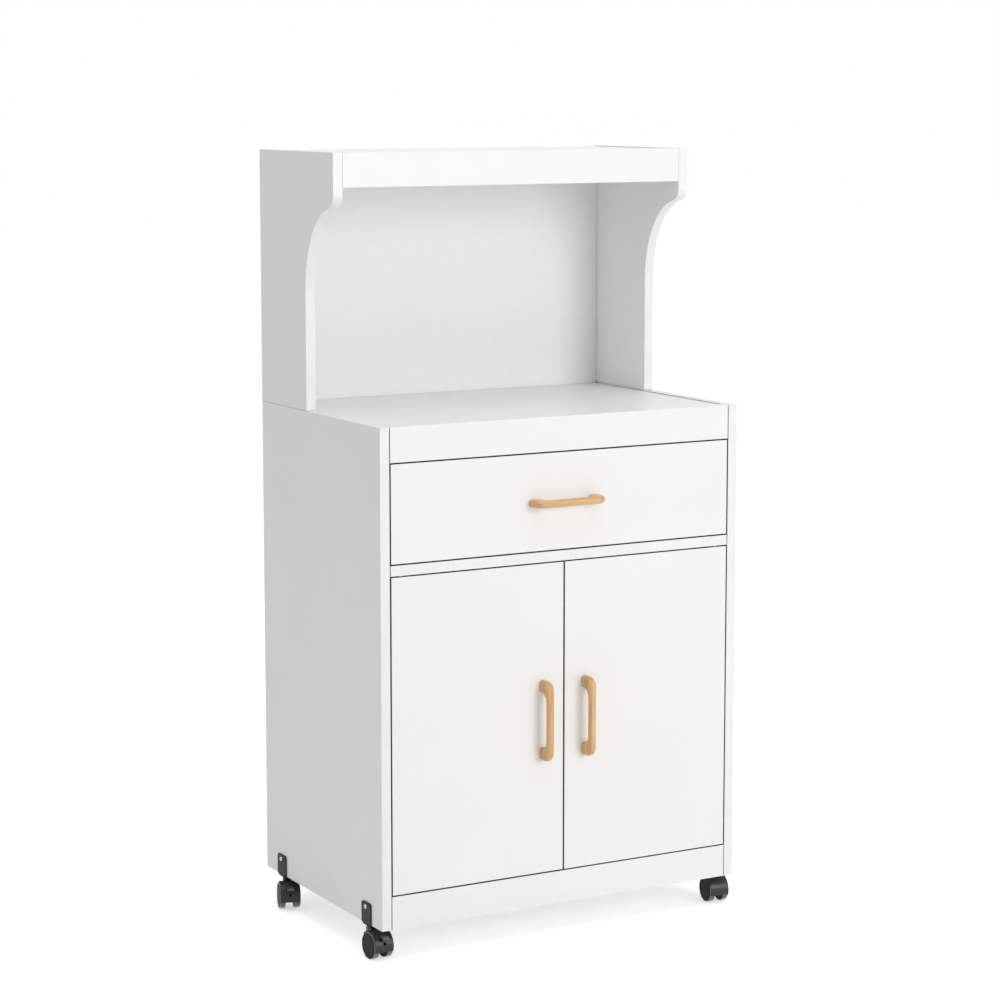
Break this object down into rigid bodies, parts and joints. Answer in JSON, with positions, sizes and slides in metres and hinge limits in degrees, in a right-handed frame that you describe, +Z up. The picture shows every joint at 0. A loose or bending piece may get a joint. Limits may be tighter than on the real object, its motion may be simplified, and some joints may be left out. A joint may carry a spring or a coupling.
{
  "type": "microwave cart",
  "caption": "White kitchen microwave cart on braked twin-wheel casters: cupboard with doors, a drawer, a worktop and an open hutch with scroll-cut sides; beech bow handles.",
  "frame": {"origin": "on the floor, in the middle of the space that the closed cart takes up", "axes": "+Z up, -Y towards the doors and the drawer, +X to the right of someone facing them"},
  "size_m": [0.636, 0.4178, 1.151],
  "materials": {
    "white_board": "smooth satin white foil on particle board",
    "white_hardboard": "thin white-faced hardboard, satin",
    "beech": "clear-lacquered beech, satin",
    "white_steel": "white powder coat",
    "bright_steel": "zinc plated",
    "black_steel": "black satin lacquer on pressed sheet",
    "black_plastic": "moulded black nylon",
    "wheel_plastic": "moulded black nylon tread",
    "catch_plastic": "moulded white plastic"
  },
  "bodies": {
    "cabinet": {"cabinet_side_left": "white_board", "cabinet_side_right": "white_board", "worktop": "white_board", "top_rail": "white_board", "divider_panel": "white_board", "bottom_panel": "white_board", "plinth_rail": "white_board", "rear_plinth_rail": "white_board", "inner_shelf": "white_board", "hutch_side_left": "white_board", "hutch_side_right": "white_board", "hutch_top": "white_board", "hutch_fascia": "white_board", "cabinet_back_panel": "white_hardboard", "hutch_back_panel": "white_hardboard", "runner_cabinet_left": "white_steel", "shelf_pin_left_front": "bright_steel", "shelf_pin_left_rear": "bright_steel", "door_pin_left_lower": "bright_steel", "door_pin_left_upper": "bright_steel", "runner_cabinet_right": "white_steel", "shelf_pin_right_front": "bright_steel", "shelf_pin_right_rear": "bright_steel", "door_pin_right_lower": "bright_steel", "door_pin_right_upper": "bright_steel", "magnetic_catch": "catch_plastic", "caster_bracket_front_left": "black_steel", "caster_bracket_front_right": "black_steel", "caster_bracket_rear_left": "black_steel", "caster_bracket_rear_right": "black_steel"},
    "drawer": {"drawer_front": "white_board", "drawer_side_left": "white_board", "drawer_side_right": "white_board", "drawer_back": "white_board", "drawer_bottom": "white_hardboard", "drawer_handle": "beech", "runner_drawer_left": "white_steel", "runner_drawer_right": "white_steel"},
    "left_door": {"door_left": "white_board", "door_handle_left": "beech"},
    "right_door": {"door_right": "white_board", "door_handle_right": "beech"},
    "front_left_caster": {"caster_hood_front_left": "black_plastic", "caster_axle_front_left": "bright_steel"},
    "front_left_outer_wheel": {"wheel_front_left_outer": "wheel_plastic"},
    "front_left_inner_wheel": {"wheel_front_left_inner": "wheel_plastic"},
    "front_left_brake": {"brake_lever_front_left": "black_plastic"},
    "front_right_caster": {"caster_hood_front_right": "black_plastic", "caster_axle_front_right": "bright_steel"},
    "front_right_outer_wheel": {"wheel_front_right_outer": "wheel_plastic"},
    "front_right_inner_wheel": {"wheel_front_right_inner": "wheel_plastic"},
    "rear_left_caster": {"caster_hood_rear_left": "black_plastic", "caster_axle_rear_left": "bright_steel"},
    "rear_left_outer_wheel": {"wheel_rear_left_outer": "wheel_plastic"},
    "rear_left_inner_wheel": {"wheel_rear_left_inner": "wheel_plastic"},
    "rear_left_brake": {"brake_lever_rear_left": "black_plastic"},
    "rear_right_caster": {"caster_hood_rear_right": "black_plastic", "caster_axle_rear_right": "bright_steel"},
    "rear_right_outer_wheel": {"wheel_rear_right_outer": "wheel_plastic"},
    "rear_right_inner_wheel": {"wheel_rear_right_inner": "wheel_plastic"}
  },
  "joints": [
    {"name": "drawer_slide", "type": "slide", "parent": "cabinet", "child": "drawer", "axis": [0, -1, 0], "range_m": [0, 0.25]},
    {"name": "left_door_pivot", "type": "hinge", "parent": "cabinet", "child": "left_door", "pos_m": [-0.265, -0.1756, 0.3285], "axis": [0, 0, -1], "range_deg": [0, 110]},
    {"name": "right_door_pivot", "type": "hinge", "parent": "cabinet", "child": "right_door", "pos_m": [0.265, -0.1756, 0.3285], "axis": [0, 0, 1], "range_deg": [0, 110]},
    {"name": "front_left_swivel", "type": "hinge", "parent": "cabinet", "child": "front_left_caster", "pos_m": [-0.2915, -0.1321, 0.045], "axis": [0, 0, 1], "continuous": true},
    {"name": "front_left_outer_roll", "type": "hinge", "parent": "front_left_caster", "child": "front_left_outer_wheel", "pos_m": [-0.29087, -0.15009, 0.01983], "axis": [0.9994, 0.0349, 0], "continuous": true},
    {"name": "front_left_inner_roll", "type": "hinge", "parent": "front_left_caster", "child": "front_left_inner_wheel", "pos_m": [-0.29087, -0.15009, 0.01983], "axis": [0.9994, 0.0349, 0], "continuous": true},
    {"name": "front_left_brake_tilt", "type": "hinge", "parent": "front_left_caster", "child": "front_left_brake", "pos_m": [-0.29044, -0.16258, 0.035], "axis": [0.9994, 0.0349, 0], "range_deg": [-12, 0]},
    {"name": "front_right_swivel", "type": "hinge", "parent": "cabinet", "child": "front_right_caster", "pos_m": [0.2915, -0.1321, 0.045], "axis": [0, 0, 1], "continuous": true},
    {"name": "front_right_outer_roll", "type": "hinge", "parent": "front_right_caster", "child": "front_right_outer_wheel", "pos_m": [0.28931, -0.14997, 0.01983], "axis": [0.9925, -0.1219, 0], "continuous": true},
    {"name": "front_right_inner_roll", "type": "hinge", "parent": "front_right_caster", "child": "front_right_inner_wheel", "pos_m": [0.28931, -0.14997, 0.01983], "axis": [0.9925, -0.1219, 0], "continuous": true},
    {"name": "rear_left_swivel", "type": "hinge", "parent": "cabinet", "child": "rear_left_caster", "pos_m": [-0.2915, 0.1549, 0.045], "axis": [0, 0, 1], "continuous": true},
    {"name": "rear_left_outer_roll", "type": "hinge", "parent": "rear_left_caster", "child": "rear_left_outer_wheel", "pos_m": [-0.29706, 0.13778, 0.01983], "axis": [0.9511, -0.309, 0], "continuous": true},
    {"name": "rear_left_inner_roll", "type": "hinge", "parent": "rear_left_caster", "child": "rear_left_inner_wheel", "pos_m": [-0.29706, 0.13778, 0.01983], "axis": [0.9511, -0.309, 0], "continuous": true},
    {"name": "rear_left_brake_tilt", "type": "hinge", "parent": "rear_left_caster", "child": "rear_left_brake", "pos_m": [-0.30092, 0.12589, 0.035], "axis": [0.9511, -0.309, 0], "range_deg": [-12, 0]},
    {"name": "rear_right_swivel", "type": "hinge", "parent": "cabinet", "child": "rear_right_caster", "pos_m": [0.2915, 0.1549, 0.045], "axis": [0, 0, 1], "continuous": true},
    {"name": "rear_right_outer_roll", "type": "hinge", "parent": "rear_right_caster", "child": "rear_right_outer_wheel", "pos_m": [0.29706, 0.13778, 0.01983], "axis": [0.9511, 0.309, 0], "continuous": true},
    {"name": "rear_right_inner_roll", "type": "hinge", "parent": "rear_right_caster", "child": "rear_right_inner_wheel", "pos_m": [0.29706, 0.13778, 0.01983], "axis": [0.9511, 0.309, 0], "continuous": true}
  ]
}
